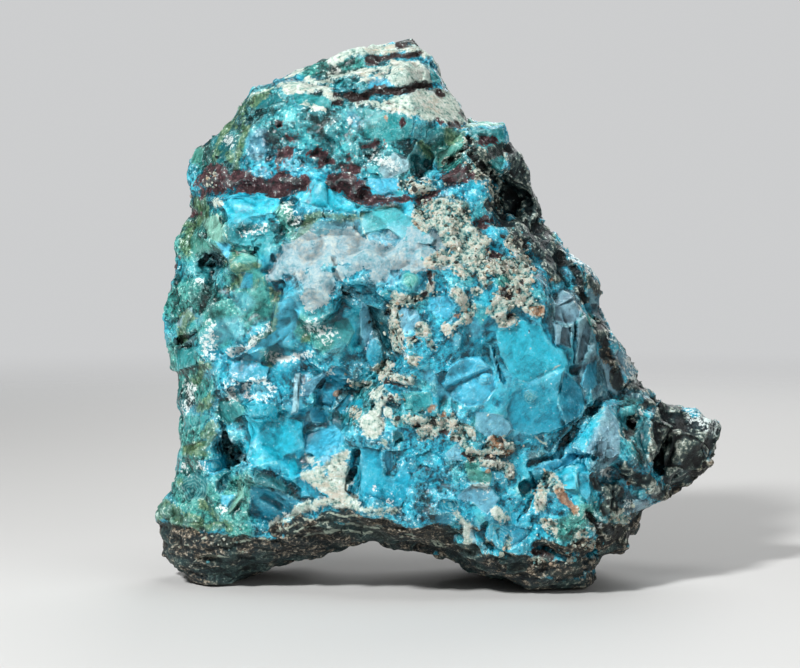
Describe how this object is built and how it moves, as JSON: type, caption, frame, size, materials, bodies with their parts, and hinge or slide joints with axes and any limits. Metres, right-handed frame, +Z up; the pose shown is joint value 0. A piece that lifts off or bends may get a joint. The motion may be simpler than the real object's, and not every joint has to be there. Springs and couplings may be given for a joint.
{
  "type": "chrysocolla specimen",
  "caption": "Free-standing rough mineral specimen: a broken blue-green copper silicate rock with a banded cap, a pale dome, a glossy scoop and a side spur, on two flat feet.",
  "frame": {"origin": "on the surface the stone stands on, under the middle of its bounding box", "axes": "+Z up; the blue face looks along -Y; +X is to the right as that face is seen, towards the spur"},
  "size_m": [0.1038, 0.0468, 0.0976],
  "materials": {
    "chrysocolla_rock": "broken blue-green copper silicate, glossy where it is pure and matt where cream crust, brown vein or host rock covers it"
  },
  "bodies": {
    "root": {"chrysocolla_specimen": "chrysocolla_rock"}
  },
  "joints": []
}
